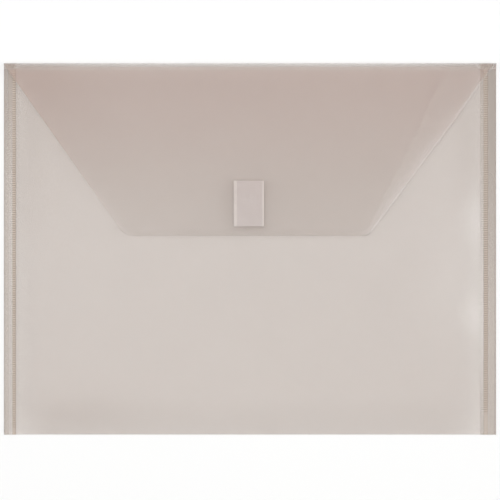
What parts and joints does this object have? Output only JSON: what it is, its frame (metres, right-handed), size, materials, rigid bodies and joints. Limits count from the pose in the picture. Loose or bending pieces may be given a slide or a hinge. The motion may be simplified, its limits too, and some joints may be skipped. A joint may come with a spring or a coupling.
{
  "type": "plastic document envelope",
  "caption": "Translucent polypropylene document envelope with ridged side welds and a tapered fold-over flap held by a hook-and-loop pad.",
  "frame": {"origin": "middle of the envelope's outline, on the outer face of the back panel", "axes": "+X across the envelope to the right of the front, +Y from the bottom fold to the flap's crease, +Z out of the front"},
  "size_m": [0.33, 0.249, 0.0077],
  "materials": {
    "film": "smoke-grey translucent polypropylene sheet, satin",
    "weld": "two layers fused and pressed into fine cross ridges",
    "tape": "pale woven nylon tape with bare selvedges",
    "pile": "nylon loops and hooks",
    "adhesive": "clear pressure-sensitive adhesive film"
  },
  "bodies": {
    "pocket": {"back_panel": "film", "front_panel": "film", "bottom_fold": "film", "left_seam": "weld", "right_seam": "weld", "flap_crease": "film", "loop_adhesive": "adhesive", "loop_tape": "tape", "loop_pile": "pile"},
    "flap": {"flap_panel": "film", "hook_adhesive": "adhesive", "hook_tape": "tape", "hook_field": "pile"}
  },
  "joints": [
    {"name": "flap_hinge", "type": "hinge", "parent": "pocket", "child": "flap", "pos_m": [0, 0.12065, 0.00385], "axis": [-1, 0, 0], "range_deg": [0, 180], "deforming": ["flap_crease"]}
  ]
}
